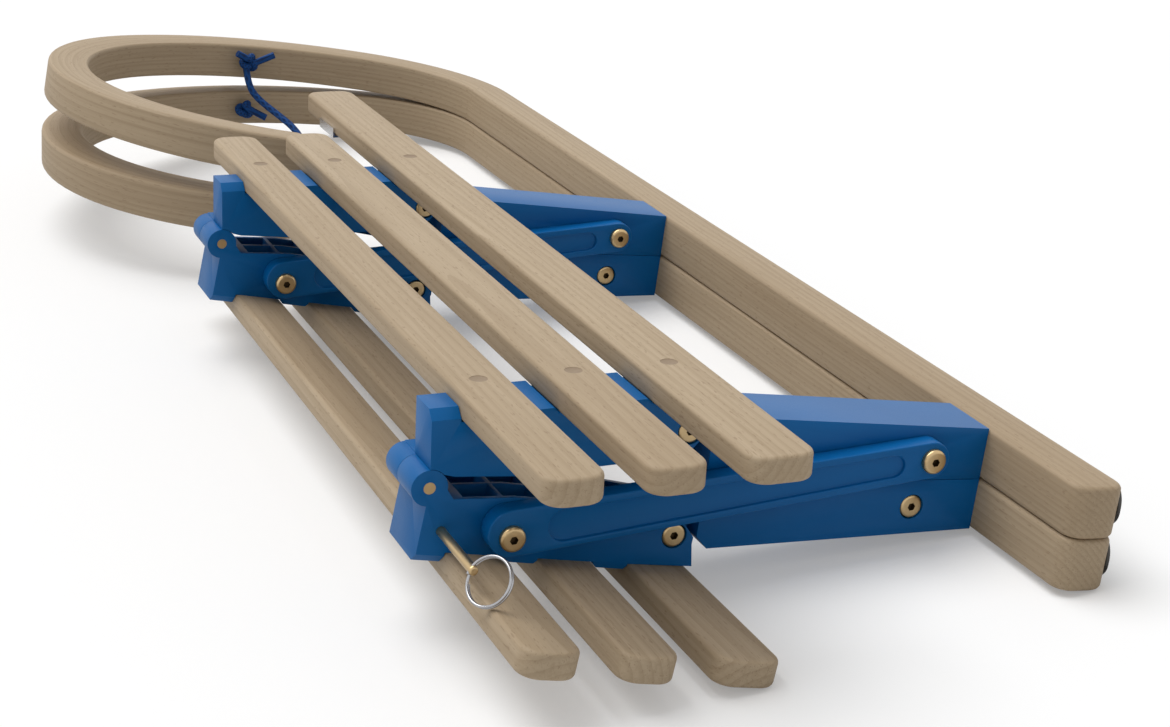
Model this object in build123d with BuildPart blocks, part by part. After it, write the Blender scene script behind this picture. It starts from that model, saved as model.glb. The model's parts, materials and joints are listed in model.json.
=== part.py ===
from build123d import *
import os
from math import acos, asin, atan2, cos, degrees, hypot, pi, radians, sin, tan

# A folding wooden sled, folded flat: two mirror-image halves lie on each other.
# Each half has three slats on two moulded seat brackets, and two moulded legs on
# one bent runner whose horn curls back over the front. The halves hinge at the
# middle of the seat, the legs hinge under the outer slats, and two pairs of
# crossed arms tie each leg to the seat of the other half.
#
# All sizes are in millimetres. The folded sled is drawn flat: X runs from the
# centre hinge to the runners, Y from the rear to the horns, and Z across the
# two halves, with the halves meeting at Z = 0. At the end it is laid down as it
# rests, on an outer slat and a runner.

RIGHT, LEFT = 1, -1          # upper and lower half of the folded sled

# Stations along the sled
station_pitch = 440.0        # from the rear brackets to the front brackets
bracket_depth = 42.0         # depth of every bracket along Y
slat_overhang = 117.0        # slats behind the rear brackets
slat_front = {"inner": 540.0, "middle": 540.0, "outer": 668.0}
runner_overhang = 89.0       # runners behind the rear brackets

# Seat, drawn in its own plane: U outwards from the centre hinge, W up through it
fold_tilt = radians(5.3)     # half of the angle left between the folded seats
slat_width_narrow = 31.5     # inner and middle slats
slat_width_outer = 36.0
slat_thick = 14.5
slat_pitch = 52.0            # from the inner edge of a slat to that of the next
slat_first = 16.0            # edge of the inner slat from the centre hinge
slat_corner = 11.0           # plan rounding of the slat ends
slat_edge = 2.5
seat_rise = 34.0             # underside of the slats above the centre hinge

# Centre hinge
barrel_radius = 9.8
barrel_middle = 23.0         # where the two knuckles of a barrel meet, from its rear end
web_reach, web_height = 14.0, 13.0   # web between a knuckle and its bracket
web_foot = 4.8
pin_radius = 3.2
hinge_play = 0.3             # between knuckles, and between moving faces
bore_play = 0.06             # radial play of a pin in its hole

# Seat bracket
wall = 3.2
rib = 2.4
ear_height = 41.0
ear_depth_right = 36.0
ear_depth_left = 48.0
ear_chamfer = 5.0
boss_height = 37.0
bracket_under = 1.5          # lower edge of the bracket above the centre hinge
bracket_past_hip = 14.8      # from the hip bolt to the end under the outer slat
heel_height = 9.0            # lower edge at the centre hinge
toe_reach, toe_height = 13.0, 5.0
belly_past_arm = 3.0         # the lower edge is straight from past the arm bolt
belly_to_hip = 27.2          # to short of the hip bolt
belly_rise = 1.0
end_drop = 1.0               # outer end under the slats
cheek_top = 4.0              # straight end above the hip bolt
nose = 2.0                   # bevel of the bosses between the slats
cells = 5                    # cells in a row, in each bracket and leg
cell_from = 20.0
cells_to_hip = 17.2          # from the last cell of a bracket to the hip bolt
stop_gap = 0.15              # each stop face behind the middle of the seat

# Pivots in the seat plane
hip_u, hip_w = 143.2, 16.4
brace_u, brace_w = 45.0, 19.0

# Leg
leg_past_hip = 11.3          # from the hip bolt to the leg's end
leg_corner = 7.0
leg_rise = 37.5              # height of the leg at its hinge end
half_play = 0.15             # each leg and runner above the middle plane
tongue_width = 17.0
tongue_radius = 9.6
tongue_room = 1.2            # behind the tongue, in the bracket's slot
tongue_root = 3.0            # length of the tongue inside the leg
tongue_drop = 2.0
cheek_radius = 11.6
leg_cell_margin = 12.0       # solid length at each end of a leg

# Bolts
bolt_radius = 3.0
head_radius = 7.0
head_height = 3.6
head_round = 1.6
boss_wall = 4.0              # wall of a boss round a bolt

# Runner
runner_thick = 32.0          # seen from the side of the sled
runner_width = 30.0
runner_inner = 326.0         # inner face of the runner from the centre hinge
runner_edge = 3.0
runner_round = 9.0           # plan rounding of the rear end
shoe_width = 22.0
shoe_thick = 2.0
horn_lean = radians(1.9)
horn_start = 858.0
# Three arcs of the horn: radius of the middle line, and turn in degrees
horn_radius_outer, horn_turn_outer = 122.0, 72.0
horn_radius_front, horn_turn_front = 251.5, 50.0
horn_radius_return, horn_turn_return = 188.0, 140.0
horn_clear = 39.3            # cut end of the horn from the hip pivot

# Plate on the outer slat beside the end of the horn
plate_length = 36.0
plate_thick = 1.5
plate_rise = 5.5
plate_foot = 18.0
plate_set_back = 47.5        # from the front end of the slat

# Arms
brace_to_runner = 41.0       # from the far pivot on the leg to the runner
brace_z = 16.0
arm_thick = 11.5
arm_big = 13.0
arm_small = 10.5
arm_shift = 2.0
arm_rim = 4.2
arm_recess = 2.5             # depth of the recess, and its ends from the two bosses
recess_from = 2.2            # in radii of the boss
recess_drop, recess_lift = 4.0, 3.5

# Locking pin and its ring
lock_u, lock_w = 11.0, 22.5
lock_radius = 2.6
lock_in = 20.0
lock_out = 50.5
lock_hole = 1.5
lock_hole_in = 2.7           # hole from the outer end of the pin
ring_radius = 12.6
ring_wire = 1.1
ring_axis = Vector(0.763, 0.393, -0.514).normalized()
ring_hang = Vector(0.40, -0.90, -0.14)   # from the pin to the ring's centre

# Tow cord
cord_radius = 3.0
cord_hole = 4.0
hole_turn = 26.0             # turn of the horn's second arc before the cord hole
knot_radius = 7.5
coil_centre = (-20.0, 313.0)     # on the floor, as the sled rests
coil_middle = 33.0           # radius at the middle of its turns
coil_turns = 3               # turns beside each other
coil_layers = 2
coil_pitch = 6.2
coil_round = 0.9             # rounding of the coil's section, in radii of the cord
cord_lift = 0.1              # under the cord, where it lies
# Route from the knot to the coil, as the sled rests, chosen by hand
cord_route = [
    (-2.0, 510.0, 79.0), (-3.0, 502.0, 63.0), (6.0, 492.0, 51.0), (17.0, 477.0, 41.5),
    (26.5, 457.0, 32.5), (30.0, 437.0, 20.0), (28.5, 417.0, 8.5), (25.0, 394.0, 3.2),
    (21.5, 368.0, 3.1), (19.3, 341.0, 3.1), (19.2, 316.0, 3.1),
]


def seat_point(u, w, side=RIGHT):
    """Place in the folded drawing of a point of the seat plane."""
    return (u * cos(fold_tilt) - w * sin(fold_tilt),
            side * (u * sin(fold_tilt) + w * cos(fold_tilt)))


def section(side, y_low, y_high, tilt=0.0):
    """Plane across the sled, to be extruded from y_low to y_high."""
    start = y_high if side == RIGHT else y_low
    return Plane(origin=(0, start, 0), x_dir=(cos(tilt), 0, side * sin(tilt)), z_dir=(0, -side, 0))


def seat_plan(side, w):
    """Plane along the seat, at height w."""
    up = Vector(-sin(fold_tilt), 0, side * cos(fold_tilt))
    return Plane(origin=up * w, x_dir=(cos(fold_tilt), 0, side * sin(fold_tilt)), z_dir=up)


def seat_cross(side, u, y):
    """Plane facing along U: its own X runs along the sled and its own Y up the seat."""
    x, z = seat_point(u, 0, side)
    return Plane(origin=(x, y, z), x_dir=(0, side, 0), z_dir=(cos(fold_tilt), 0, side * sin(fold_tilt)))


ear_depths = {RIGHT: ear_depth_right, LEFT: ear_depth_left}
bracket_end = hip_u + bracket_past_hip
leg_start = hip_u + leg_past_hip
brace_x = runner_inner - brace_to_runner
hip_x, hip_z = seat_point(hip_u, hip_w)
brace_seat_x, brace_seat_z = seat_point(brace_u, brace_w)
slat_widths = {"inner": slat_width_narrow, "middle": slat_width_narrow, "outer": slat_width_outer}
slat_starts = {place: slat_first + index * slat_pitch for index, place in enumerate(slat_widths)}
slat_ends = {place: start + slat_widths[place] for place, start in slat_starts.items()}
runner_middle = runner_inner + runner_thick / 2
horn_arcs = [(horn_radius_outer, horn_turn_outer), (horn_radius_front, horn_turn_front),
             (horn_radius_return, horn_turn_return)]
# Place of the horn's end along the sled, from its arcs
turns = [0.0]
for radius, turn in horn_arcs:
    turns.append(turns[-1] + radians(turn))
horn_end_y = horn_start + sum(radius * (sin(after) - sin(before))
                              for (radius, turn), before, after in zip(horn_arcs, turns, turns[1:]))


def slat(side, place):
    length = slat_overhang + slat_front[place]
    middle = (slat_front[place] - slat_overhang) / 2
    with BuildPart() as piece:
        with BuildSketch(seat_plan(side, seat_rise)):
            with Locations(((slat_starts[place] + slat_ends[place]) / 2, side * middle)):
                RectangleRounded(slat_widths[place], length, slat_corner)
        extrude(amount=slat_thick)
        rims = piece.faces().filter_by(GeomType.PLANE).sort_by(SortBy.AREA)[-2:].edges()
        fillet(rims, slat_edge)
    return piece.part


def bracket_outline():
    """Side outline of a seat bracket in the seat plane, with a boss in each gap of the slats."""
    points = [(stop_gap, ear_height - 3 * ear_chamfer),
              (slat_first - hinge_play, ear_height - 3 * ear_chamfer),
              (slat_first - hinge_play, seat_rise)]
    for before, after in (("inner", "middle"), ("middle", "outer")):
        start, end = slat_ends[before], slat_starts[after]
        points += [(start + hinge_play, seat_rise), (start + hinge_play, boss_height - nose),
                   (start + nose + hinge_play, boss_height), (end - nose - hinge_play, boss_height),
                   (end - hinge_play, boss_height - nose), (end - hinge_play, seat_rise)]
    points += [(bracket_end, seat_rise - end_drop),
               (hip_u + cheek_radius, hip_w + cheek_top), (hip_u + cheek_radius, hip_w),
               (hip_u, hip_w - cheek_radius), (hip_u - belly_to_hip, bracket_under + belly_rise),
               (brace_u + belly_past_arm, bracket_under), (toe_reach, toe_height),
               (stop_gap, heel_height)]
    return points


def seat_bracket(side, station):
    """Seat bracket: a ribbed moulding, open towards the other half."""
    low, high = station, station + bracket_depth
    middle = station + barrel_middle
    if side == RIGHT:
        own = (middle + hinge_play / 2, high)
        other = (low - 1, middle + hinge_play / 2)
    else:
        own = (low, middle - hinge_play / 2)
        other = (middle - hinge_play / 2, high + 1)
    slot_low = station + (bracket_depth - tongue_width) / 2 - hinge_play
    slot_high = slot_low + tongue_width + 2 * hinge_play
    slot_inner = hip_u - tongue_radius - tongue_room
    cell = (hip_u - cells_to_hip - cell_from - (cells - 1) * rib) / cells
    row = (bracket_depth - 2 * wall - rib) / 2
    with BuildPart() as piece:
        with BuildSketch(section(side, low, high, fold_tilt)):
            with BuildLine():
                Polyline(*bracket_outline(), close=True)
            make_face()
        extrude(amount=bracket_depth)
        # the two rows of cells, open towards the other half
        for row_index in range(2):
            row_low = low + wall + row_index * (row + rib)
            with BuildSketch(section(side, row_low, row_low + row, fold_tilt)):
                for index in range(cells):
                    start = cell_from + index * (cell + rib)
                    with Locations((start + cell / 2, (seat_rise - wall) / 2)):
                        Rectangle(cell, seat_rise - wall)
            extrude(amount=row, mode=Mode.SUBTRACT)
        # boss round the arm bolt
        with BuildSketch(section(side, low, high, fold_tilt)):
            with Locations((brace_u, brace_w)):
                Circle(head_radius + boss_wall)
        extrude(amount=bracket_depth)
        # ear with its stop face, bevelled at the top
        ear = ear_depths[side]
        with BuildSketch(seat_cross(side, stop_gap, station)):
            with BuildLine():
                Polyline((0, ear_height - 3 * ear_chamfer), (0, ear_height - ear_chamfer),
                         (side * ear_chamfer, ear_height), (side * (ear - ear_chamfer), ear_height),
                         (side * ear, ear_height - ear_chamfer), (side * ear, web_height),
                         (0, web_height), close=True)
            make_face()
        extrude(amount=slat_first - hinge_play - stop_gap)
        # own half of the hinge barrel, and room for the other half
        with BuildSketch(section(side, own[0], own[1], fold_tilt)):
            Circle(barrel_radius)
            with BuildLine():
                Polyline((stop_gap, 0), (stop_gap, web_height), (web_reach, web_height),
                         (web_reach, web_foot), (barrel_radius, 0), close=True)
            make_face()
        extrude(amount=own[1] - own[0])
        with BuildSketch(section(side, other[0], other[1], fold_tilt)):
            Circle(barrel_radius + hinge_play)
        extrude(amount=other[1] - other[0], mode=Mode.SUBTRACT)
        # slot for the leg's tongue
        with BuildSketch(section(side, slot_low, slot_high, fold_tilt)):
            with Locations((slot_inner, seat_rise / 2)):
                Rectangle(2 * (bracket_end - slot_inner), 2 * seat_rise, align=(Align.MIN, Align.CENTER))
        extrude(amount=slot_high - slot_low, mode=Mode.SUBTRACT)
        # holes for the hinge pin, the hip bolt and the arm bolt
        with BuildSketch(section(side, low - 1, high + 1, fold_tilt)):
            Circle(pin_radius + bore_play)
            with Locations((hip_u, hip_w), (brace_u, brace_w)):
                Circle(bolt_radius + bore_play)
        extrude(amount=bracket_depth + 2, mode=Mode.SUBTRACT)
        # room for the head and the nut of the hip bolt, sunk in both faces
        for sunk_low in (low, high - head_height):
            with BuildSketch(section(side, sunk_low, sunk_low + head_height, fold_tilt)):
                with Locations((hip_u, hip_w)):
                    Circle(head_radius + hinge_play)
            extrude(amount=head_height, mode=Mode.SUBTRACT)
        # the arm bolt's nut is sunk in the face away from the arm
        nut_low = high - head_height if side == LEFT else low
        with BuildSketch(section(side, nut_low, nut_low + head_height, fold_tilt)):
            with Locations((brace_u, brace_w)):
                Circle(head_radius + hinge_play)
        extrude(amount=head_height, mode=Mode.SUBTRACT)
        if side == LEFT and station == 0:
            # hole for the locking pin
            with BuildSketch(section(side, low - 1, low + lock_in + 1, fold_tilt)):
                with Locations((lock_u, lock_w)):
                    Circle(lock_radius + bore_play)
            extrude(amount=lock_in + 2, mode=Mode.SUBTRACT)
    return piece.part


def leg(side, station):
    """Leg: a tapered ribbed box with a tongue for its hinge."""
    low, high = station, station + bracket_depth
    tongue_low = station + (bracket_depth - tongue_width) / 2
    first = leg_start + leg_cell_margin
    cell = (runner_inner - leg_cell_margin - first - (cells - 1) * rib) / cells
    row = (bracket_depth - 2 * wall - rib) / 2
    with BuildPart() as piece:
        with BuildSketch(section(side, low, high)):
            with BuildLine():
                Polyline((leg_start, half_play), (leg_start, leg_rise - leg_corner),
                         (leg_start + leg_corner, leg_rise), (runner_inner, runner_width),
                         (runner_inner, half_play), close=True)
            make_face()
        extrude(amount=bracket_depth)
        # the cells, open towards the other half, under a sloping roof
        for row_index in range(2):
            row_low = low + wall + row_index * (row + rib)
            with BuildSketch(section(side, row_low, row_low + row)):
                for index in range(cells):
                    start = first + index * (cell + rib)
                    with Locations((start + cell / 2, (runner_width - wall) / 2)):
                        Rectangle(cell, runner_width - wall)
            extrude(amount=row, mode=Mode.SUBTRACT)
        # boss round the arm bolt
        with BuildSketch(section(side, low, high)):
            with Locations((brace_x, brace_z)):
                Circle(head_radius + boss_wall)
        extrude(amount=bracket_depth)
        # tongue
        with BuildSketch(section(side, tongue_low, tongue_low + tongue_width)):
            with Locations((hip_x, hip_z)):
                Circle(tongue_radius)
            with BuildLine():
                root = leg_start + tongue_root
                Polyline((hip_x, hip_z + tongue_radius), (root, hip_z + tongue_radius - tongue_drop),
                         (root, hip_z - tongue_radius), (hip_x, hip_z - tongue_radius), close=True)
            make_face()
        extrude(amount=tongue_width)
        with BuildSketch(section(side, low - 1, high + 1)):
            with Locations((hip_x, hip_z), (brace_x, brace_z)):
                Circle(bolt_radius + bore_play)
        extrude(amount=bracket_depth + 2, mode=Mode.SUBTRACT)
        # the arm bolt's nut is sunk in the face away from the arm
        nut_low = high - head_height if side == RIGHT else low
        with BuildSketch(section(side, nut_low, nut_low + head_height)):
            with Locations((brace_x, brace_z)):
                Circle(head_radius + hinge_play)
        extrude(amount=head_height, mode=Mode.SUBTRACT)
    return piece.part


def runner_path(side, offset=0.0, arcs=horn_arcs):
    """Line along a runner: a straight run and the horn's arcs in a leaning plane."""
    flat = Plane(origin=(runner_middle + offset, 0, side * runner_width / 2), x_dir=(0, 1, 0),
                 z_dir=(side * sin(horn_lean), 0, cos(horn_lean)))
    with BuildLine(flat) as path:
        Line((-runner_overhang, 0), (horn_start, 0))
        for radius, turn in arcs:
            JernArc(start=path.line @ 1, tangent=path.line % 1, radius=radius + offset, arc_size=turn)
    return path.line


def cord_hole_plane(side):
    """Plane on the horn's middle line at its cord hole, facing outwards."""
    path = Wire(runner_path(side).edges())
    along = (runner_overhang + horn_start + horn_arcs[0][0] * radians(horn_arcs[0][1])
             + horn_arcs[1][0] * radians(hole_turn))
    middle = path.position_at(along, position_mode=PositionMode.LENGTH)
    forward = path.tangent_at(along, position_mode=PositionMode.LENGTH)
    across = Vector(side * sin(horn_lean), 0, cos(horn_lean))
    return Plane(origin=middle, x_dir=across, z_dir=forward.cross(across))


def runner(side):
    half = runner_thick / 2
    with BuildPart() as piece:
        with BuildSketch(Plane(origin=(runner_middle, -runner_overhang, side * runner_width / 2),
                               x_dir=(1, 0, 0), z_dir=(0, 1, 0))):
            RectangleRounded(runner_thick, runner_width - 2 * half_play, runner_edge)
        sweep(path=runner_path(side))
        # the rear end is rounded in plan
        with BuildSketch(Plane.XY.offset(-2 * runner_width)):
            for way in (-1, 1):
                corner = (runner_middle + way * half, -runner_overhang)
                inside = (corner[0] - way * runner_round, corner[1] + runner_round)
                with BuildLine():
                    Polyline((inside[0], corner[1]), (inside[0], corner[1] - 1),
                             (corner[0] + way, corner[1] - 1), (corner[0] + way, inside[1]),
                             (corner[0], inside[1]))
                    RadiusArc((corner[0], inside[1]), (inside[0], corner[1]), way * runner_round)
                make_face()
        extrude(amount=4 * runner_width, mode=Mode.SUBTRACT)
        # the horn ends clear of the outer slat
        with BuildSketch(Plane.XY.offset(-2 * runner_width)):
            with Locations((hip_x - horn_clear, horn_end_y)):
                Rectangle((runner_inner - hip_x + horn_clear) / 2, 3 * runner_thick,
                          align=(Align.MIN, Align.CENTER))
        extrude(amount=4 * runner_width, mode=Mode.SUBTRACT)
        # hole for the tow cord
        with BuildSketch(cord_hole_plane(side)):
            Circle(cord_hole)
        extrude(amount=runner_thick, both=True, mode=Mode.SUBTRACT)
    return piece.part


def shoe(side):
    """Steel strip along the sliding face, up the first arc of the horn."""
    offset = (runner_thick + shoe_thick) / 2
    with BuildPart() as piece:
        with BuildSketch(Plane(origin=(runner_middle + offset, -runner_overhang, side * runner_width / 2),
                               x_dir=(1, 0, 0), z_dir=(0, 1, 0))):
            Rectangle(shoe_thick, shoe_width)
        sweep(path=runner_path(side, offset, horn_arcs[:1]))
        # it starts where the rounding of the end does
        with BuildSketch(Plane.XY.offset(-2 * runner_width)):
            with Locations((runner_middle + offset, -runner_overhang)):
                Rectangle(4 * shoe_thick, 2 * runner_round)
        extrude(amount=4 * runner_width, mode=Mode.SUBTRACT)
    return piece.part


def arm(side, station):
    """Arm: drawn for side LEFT it lies on the rear faces, for RIGHT on the front faces."""
    low = arm_low(side, station)
    big = (brace_seat_x, brace_seat_z - arm_shift)
    small = (brace_x, -brace_z)
    outer_low = low if side == LEFT else low + arm_thick - arm_recess
    with BuildPart() as piece:
        with BuildSketch(section(side, low, low + arm_thick)):
            with Locations(big):
                Circle(arm_big)
            with Locations(small):
                Circle(arm_small)
            make_hull()
        extrude(amount=arm_thick)
        with BuildSketch(section(side, outer_low, outer_low + arm_recess)):
            with Locations((big[0] + recess_from * arm_big, big[1] - recess_drop)):
                Circle(arm_big - arm_rim)
            with Locations((small[0] - recess_from * arm_small, small[1] + recess_lift)):
                Circle(arm_small - arm_rim)
            make_hull()
        extrude(amount=arm_recess, mode=Mode.SUBTRACT)
        with BuildSketch(section(side, low - 1, low + arm_thick + 1)):
            with Locations((brace_seat_x, brace_seat_z), small):
                Circle(bolt_radius + bore_play)
        extrude(amount=arm_thick + 2, mode=Mode.SUBTRACT)
    return piece.part


def arm_low(side, station):
    """Lower face of an arm along Y."""
    if side == LEFT:
        return station - hinge_play - arm_thick
    return station + bracket_depth + hinge_play


def bolt(x, z, head_y, end_y, nut=True):
    """Bolt along Y from the outside of its head to its end, with a nut at the end."""
    way = 1 if end_y > head_y else -1
    with BuildPart() as piece:
        with BuildSketch(Plane(origin=(x, head_y, z), x_dir=(1, 0, 0), z_dir=(0, way, 0))):
            Circle(head_radius)
        extrude(amount=head_height)
        rim = piece.edges().sort_by(Axis.Y, reverse=(way < 0))[0]
        fillet(rim, head_round)
        with BuildSketch(Plane(origin=(x, head_y, z), x_dir=(1, 0, 0), z_dir=(0, way, 0))):
            Circle(bolt_radius)
        extrude(amount=abs(end_y - head_y))
        if nut:
            with BuildSketch(Plane(origin=(x, end_y, z), x_dir=(1, 0, 0), z_dir=(0, -way, 0))):
                RegularPolygon(head_radius, 6)
            extrude(amount=head_height)
    return piece.part


def stud(x, z, start_y, end_y):
    """Threaded end of an arm bolt inside the leg, with its nut."""
    way = 1 if end_y > start_y else -1
    with BuildPart() as piece:
        with BuildSketch(Plane(origin=(x, start_y, z), x_dir=(1, 0, 0), z_dir=(0, way, 0))):
            Circle(bolt_radius)
        extrude(amount=abs(end_y - start_y))
        with BuildSketch(Plane(origin=(x, end_y, z), x_dir=(1, 0, 0), z_dir=(0, -way, 0))):
            RegularPolygon(head_radius, 6)
        extrude(amount=head_height)
    return piece.part


def hinge_pin(station):
    with BuildPart() as piece:
        with BuildSketch(Plane(origin=(0, station, 0), x_dir=(1, 0, 0), z_dir=(0, 1, 0))):
            Circle(pin_radius)
        extrude(amount=bracket_depth)
    return piece.part


def slat_plate(side):
    """Bent steel plate round the lower inner edge of the outer slat, beside the horn's end."""
    edge = slat_starts["outer"]
    low = slat_front["outer"] - plate_set_back - plate_length
    with BuildPart() as piece:
        with BuildSketch(section(side, low, low + plate_length, fold_tilt)):
            with BuildLine():
                Polyline((edge - plate_thick, seat_rise - plate_thick),
                         (edge + plate_foot, seat_rise - plate_thick), (edge + plate_foot, seat_rise),
                         (edge, seat_rise), (edge, seat_rise + plate_rise),
                         (edge - plate_thick, seat_rise + plate_rise), close=True)
            make_face()
        extrude(amount=plate_length)
    return piece.part


lock_x, lock_z = seat_point(lock_u, lock_w, LEFT)
ring_point = Vector(lock_x, -lock_out + lock_hole_in, lock_z)
ring_way = (ring_hang - ring_axis * ring_hang.dot(ring_axis)).normalized()
ring_centre = ring_point + ring_way * ring_radius


def lock_pin():
    with BuildPart() as piece:
        with BuildSketch(Plane(origin=(lock_x, -lock_out, lock_z), x_dir=(1, 0, 0), z_dir=(0, 1, 0))):
            Circle(lock_radius)
        extrude(amount=lock_out + lock_in)
        fillet(piece.edges().sort_by(Axis.Y)[0], lock_radius / 2)
        with BuildSketch(Plane(origin=ring_point, x_dir=ring_axis, z_dir=ring_axis.cross(ring_way))):
            Circle(lock_hole)
        extrude(amount=2 * lock_radius, both=True, mode=Mode.SUBTRACT)
    return piece.part


def split_ring():
    with BuildPart() as piece:
        with BuildSketch(Plane(origin=ring_centre, x_dir=ring_way, z_dir=ring_axis.cross(ring_way))):
            with Locations((ring_radius, 0)):
                Circle(ring_wire)
        revolve(axis=Axis(ring_centre, ring_axis))
    return piece.part


def knot(side):
    """Knot on the inside of the horn, and the cord through the hole to a knot outside."""
    place = cord_hole_plane(side)
    reach = runner_thick / 2 + hinge_play + knot_radius
    with BuildPart() as piece:
        with BuildSketch(place):
            Circle(cord_radius)
        extrude(amount=reach, both=True)
        for way in (-1, 1):
            with Locations(place.offset(way * reach)):
                Sphere(knot_radius)
    return piece.part


def corner_radii(route):
    """Radius of each arc of a route: as large as the two runs beside it allow."""
    points = [Vector(*point) for point in route]
    radii = []
    for before, corner, after in zip(points, points[1:], points[2:]):
        shorter = min((corner - before).length, (after - corner).length)
        turn = radians((corner - before).get_angle(after - corner))
        radii.append(0.45 * shorter / tan(turn / 2))
    return radii


def tow_cord():
    """Straight runs joined by arcs, from the knot down to the coil."""
    with BuildPart() as piece:
        with BuildLine() as route:
            FilletPolyline(*cord_route, radius=corner_radii(cord_route))
        with BuildSketch(Plane(origin=route.line @ 0, z_dir=route.line % 0)):
            Circle(cord_radius)
        sweep(path=route.line)
    length = Wire(route.line.edges()).length
    print("cord run", round(length, 1), "volume over section times length",
          round(piece.part.volume / (pi * cord_radius ** 2 * length), 4))
    print("cord radii", [round(radius, 1) for radius in corner_radii(cord_route)])
    return piece.part


def cord_coil():
    """Outer shape of the coiled length of the cord."""
    width = (coil_turns - 1) * coil_pitch + 2 * cord_radius
    height = (coil_layers - 1) * coil_pitch + 2 * cord_radius
    middle = Plane(origin=(*coil_centre, cord_lift), x_dir=(1, 0, 0), z_dir=(0, -1, 0))
    with BuildPart() as piece:
        with BuildSketch(middle):
            with Locations((coil_middle, height / 2)):
                RectangleRounded(width, height, coil_round * cord_radius)
        revolve(axis=Axis(middle.origin, (0, 0, 1)))
    return piece.part


pieces = {}
for side, half in ((RIGHT, "right"), (LEFT, "left")):
    for place in slat_starts:
        pieces[f"slat_{half}_{place}"] = slat(side, place)
    for place, station in (("rear", 0.0), ("front", station_pitch)):
        low, high = station, station + bracket_depth
        outside = -1 if side == LEFT else 1
        arm_face = arm_low(side, station) if side == LEFT else arm_low(side, station) + arm_thick
        arm_back = arm_face - outside * arm_thick
        head_face = arm_face + outside * head_height
        pieces[f"seat_bracket_{half}_{place}"] = seat_bracket(side, station)
        pieces[f"leg_{half}_{place}"] = leg(side, station)
        pieces[f"arm_{half}_{place}"] = arm(side, station)
        pieces[f"hip_bolt_{half}_{place}"] = bolt(hip_x, side * hip_z, low, high)
        pieces[f"arm_bolt_{half}_{place}"] = bolt(
            brace_seat_x, side * brace_seat_z, head_face, high if side == LEFT else low)
        pieces[f"brace_head_{half}_{place}"] = bolt(
            brace_x, -side * brace_z, head_face, arm_back, nut=False)
        pieces[f"brace_stud_{half}_{place}"] = stud(
            brace_x, -side * brace_z, low if side == LEFT else high, high if side == LEFT else low)
    pieces[f"runner_{half}"] = runner(side)
    pieces[f"runner_shoe_{half}"] = shoe(side)
    pieces[f"slat_plate_{half}"] = slat_plate(side)
    pieces[f"knot_{half}"] = knot(side)
for place, station in (("rear", 0.0), ("front", station_pitch)):
    pieces[f"hinge_pin_{place}"] = hinge_pin(station)
pieces["lock_pin"] = lock_pin()
pieces["split_ring"] = split_ring()

# How it rests: tipped about Y until an outer slat and a runner both touch the floor
slat_low_x, slat_low_z = seat_point(slat_ends["outer"] - slat_edge,
                                    seat_rise + slat_thick - slat_edge, LEFT)
runner_low_x = runner_inner + runner_thick - runner_edge
runner_low_z = -(runner_width - half_play - runner_edge)
rise = runner_low_z - slat_low_z
run = runner_low_x - slat_low_x
rest_tilt = atan2(rise, run) - asin((runner_edge - slat_edge) / hypot(rise, run))
tipped = {name: solid.moved(Location((0, 0, 0), (0, degrees(rest_tilt), 0)))
          for name, solid in pieces.items()}
boxes = [solid.bounding_box() for name, solid in tipped.items() if name != "knot_right"]
shift = Vector(-(min(box.min.X for box in boxes) + max(box.max.X for box in boxes)) / 2,
               -(min(box.min.Y for box in boxes) + max(box.max.Y for box in boxes)) / 2,
               -min(box.min.Z for box in boxes))
finished = {name: solid.moved(Location(shift)) for name, solid in tipped.items()}
finished["tow_cord"] = tow_cord()
finished["tow_cord_coil"] = cord_coil()


def at_rest(x, y, z):
    """Place at rest of a point of the folded drawing."""
    return Vector(x * cos(rest_tilt) + z * sin(rest_tilt), y, -x * sin(rest_tilt) + z * cos(rest_tilt)) + shift


# Unfolded, each seat lies level: how far the legs splay closes the chain of each arm
brace_seat = (brace_seat_x, -brace_seat_z)
arm_length = hypot(brace_x - brace_seat[0], brace_z - brace_seat[1])
leg_run = (brace_x - hip_x, brace_z - hip_z)
seat_run = (-hip_w + brace_w, hip_u + brace_u)
leg_size, seat_size = hypot(*leg_run), hypot(*seat_run)
closing = acos((arm_length ** 2 - leg_size ** 2 - seat_size ** 2) / (2 * leg_size * seat_size))
splay = atan2(seat_run[1], seat_run[0]) - atan2(leg_run[1], leg_run[0]) - closing
unfolded_arm = (seat_run[0] + leg_size * cos(atan2(leg_run[1], leg_run[0]) + splay),
                seat_run[1] + leg_size * sin(atan2(leg_run[1], leg_run[0]) + splay))
seat_swing = radians(90) - fold_tilt
arm_swing = (atan2(unfolded_arm[1], unfolded_arm[0])
             - atan2(brace_z - brace_seat[1], brace_x - brace_seat[0]))
print("rest tilt", round(degrees(rest_tilt), 4))
print("shift", [round(value, 4) for value in shift])
print("splay", round(degrees(splay), 4))
print("centre fold", round(degrees(2 * seat_swing), 4))
print("hip", round(degrees(seat_swing - splay), 4), "ratio", round((seat_swing - splay) / (2 * seat_swing), 6))
print("arm", round(degrees(seat_swing + arm_swing), 4), "ratio",
      round((seat_swing + arm_swing) / (2 * seat_swing), 6))
for name, point in (("centre", (0, 0)), ("hip", (hip_x, hip_z)), ("seat brace", (brace_seat_x, brace_seat_z)),
                    ("leg brace", (brace_x, brace_z))):
    for side in (RIGHT, LEFT):
        print(name, side, [round(value, 4) for value in at_rest(point[0], 0, side * point[1])])
for side in (RIGHT, LEFT):
    hole = cord_hole_plane(side)
    print("cord hole", side, [round(value, 4) for value in at_rest(*hole.origin)],
          [round(value, 4) for value in hole.z_dir])

os.makedirs("parts", exist_ok=True)
for name, solid in finished.items():
    solid.label = name
    export_step(solid, f"parts/{name}.step")
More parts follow.
